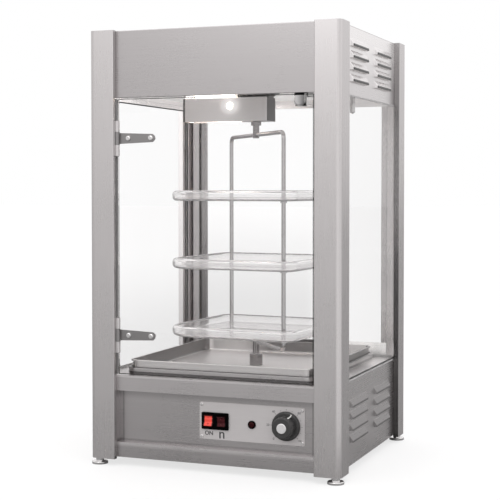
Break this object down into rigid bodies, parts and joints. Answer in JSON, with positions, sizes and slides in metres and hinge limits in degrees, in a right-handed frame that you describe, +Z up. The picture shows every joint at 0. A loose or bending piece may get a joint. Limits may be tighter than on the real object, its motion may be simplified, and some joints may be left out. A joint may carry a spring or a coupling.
{
  "type": "heated rotating food display case",
  "caption": "Stainless countertop display case with a glass door, heated base and clear trays turning on a rod rack behind glass walls.",
  "frame": {"origin": "middle of the footprint on the floor plane under the feet", "axes": "+Z up, front with the door faces -Y, +X to the right seen from the front"},
  "size_m": [0.496, 0.459, 0.812],
  "materials": {
    "brushed_steel": "brushed stainless sheet",
    "bright_steel": "bright stainless sheet",
    "plate_steel": "satin stainless plate",
    "polished_rod": "polished rod",
    "hinge_steel": "plain steel hinge",
    "clear_glass": "clear float glass",
    "clear_tray": "clear moulded tray",
    "black_rubber": "matte rubber",
    "black_plastic": "matte black",
    "knob_black": "matte black",
    "silver": "satin cap",
    "chrome": "bright chrome",
    "zinc": "zinc plated",
    "heater_sheath": "oxidised sheath",
    "ceramic": "white ceramic",
    "red_dark": "dark red",
    "red_lens": "dark red lens",
    "red_lit": "lit red",
    "lamp_glow": "lit lamp"
  },
  "bodies": {
    "case": {"post_front_left": "brushed_steel", "post_front_right": "brushed_steel", "post_rear_left": "brushed_steel", "post_rear_right": "brushed_steel", "base_floor": "brushed_steel", "base_top_rail": "brushed_steel", "base_bottom_rail": "brushed_steel", "base_front_panel": "brushed_steel", "base_side_left": "brushed_steel", "base_side_right": "brushed_steel", "base_back": "brushed_steel", "deck_plate": "bright_steel", "drip_pan": "bright_steel", "hood_front": "brushed_steel", "hood_side_left": "brushed_steel", "hood_side_right": "brushed_steel", "hood_back": "brushed_steel", "hood_top": "brushed_steel", "hood_ceiling": "bright_steel", "glass_left": "clear_glass", "glass_right": "clear_glass", "glass_back": "clear_glass", "glazing_seals": "black_rubber", "pane_retainers": "brushed_steel", "drive_housing": "bright_steel", "gear_motor": "zinc", "lamp_tube": "lamp_glow", "lamp_holders": "ceramic", "temperature_probe": "polished_rod", "control_plate": "plate_steel", "control_screws": "chrome", "switch_frame": "black_plastic", "signal_bezel": "black_plastic", "signal_lens": "red_lens", "thermostat_body": "zinc", "heating_element": "heater_sheath", "cable_gland": "black_plastic", "hinge_brackets": "hinge_steel", "hinge_pins": "hinge_steel", "door_catch": "black_plastic", "pivot_bush": "polished_rod"},
    "door": {"door_glass": "clear_glass", "hinge_straps": "hinge_steel", "strap_screws": "chrome", "door_strike": "chrome"},
    "rack": {"rack_frame": "polished_rod", "tray_bottom": "clear_tray", "tray_middle": "clear_tray", "tray_top": "clear_tray", "tray_collars": "polished_rod", "drive_coupling": "polished_rod"},
    "rocker_left": {"rocker_left": "red_lit"},
    "rocker_right": {"rocker_right": "red_dark"},
    "knob": {"knob": "knob_black", "knob_cap": "silver", "thermostat_spindle": "zinc"},
    "foot_front_left": {"foot_front_left": "chrome"},
    "foot_front_right": {"foot_front_right": "chrome"},
    "foot_rear_left": {"foot_rear_left": "chrome"},
    "foot_rear_right": {"foot_rear_right": "chrome"}
  },
  "joints": [
    {"name": "door_swing", "type": "hinge", "parent": "case", "child": "door", "pos_m": [-0.1909, -0.216, 0.428], "axis": [0, 0, -1], "range_deg": [0, 120]},
    {"name": "rack_spin", "type": "hinge", "parent": "case", "child": "rack", "pos_m": [0.0025, 0, 0.4], "axis": [0, 0, 1], "continuous": true},
    {"name": "rocker_left_tilt", "type": "hinge", "parent": "case", "child": "rocker_left", "pos_m": [-0.0123, -0.202, 0.094], "axis": [1, 0, 0], "range_deg": [0, 16]},
    {"name": "rocker_right_tilt", "type": "hinge", "parent": "case", "child": "rocker_right", "pos_m": [0.0131, -0.202, 0.094], "axis": [1, 0, 0], "range_deg": [-16, 0]},
    {"name": "knob_turn", "type": "hinge", "parent": "case", "child": "knob", "pos_m": [0.138, -0.215, 0.094], "axis": [0, 1, 0], "range_deg": [0, 270]},
    {"name": "foot_front_left_turn", "type": "hinge", "parent": "case", "child": "foot_front_left", "pos_m": [-0.233, -0.209, 0.006], "axis": [0, 0, 1], "continuous": true},
    {"name": "foot_front_right_turn", "type": "hinge", "parent": "case", "child": "foot_front_right", "pos_m": [0.233, -0.209, 0.006], "axis": [0, 0, 1], "continuous": true},
    {"name": "foot_rear_left_turn", "type": "hinge", "parent": "case", "child": "foot_rear_left", "pos_m": [-0.233, 0.209, 0.006], "axis": [0, 0, 1], "continuous": true},
    {"name": "foot_rear_right_turn", "type": "hinge", "parent": "case", "child": "foot_rear_right", "pos_m": [0.233, 0.209, 0.006], "axis": [0, 0, 1], "continuous": true}
  ]
}
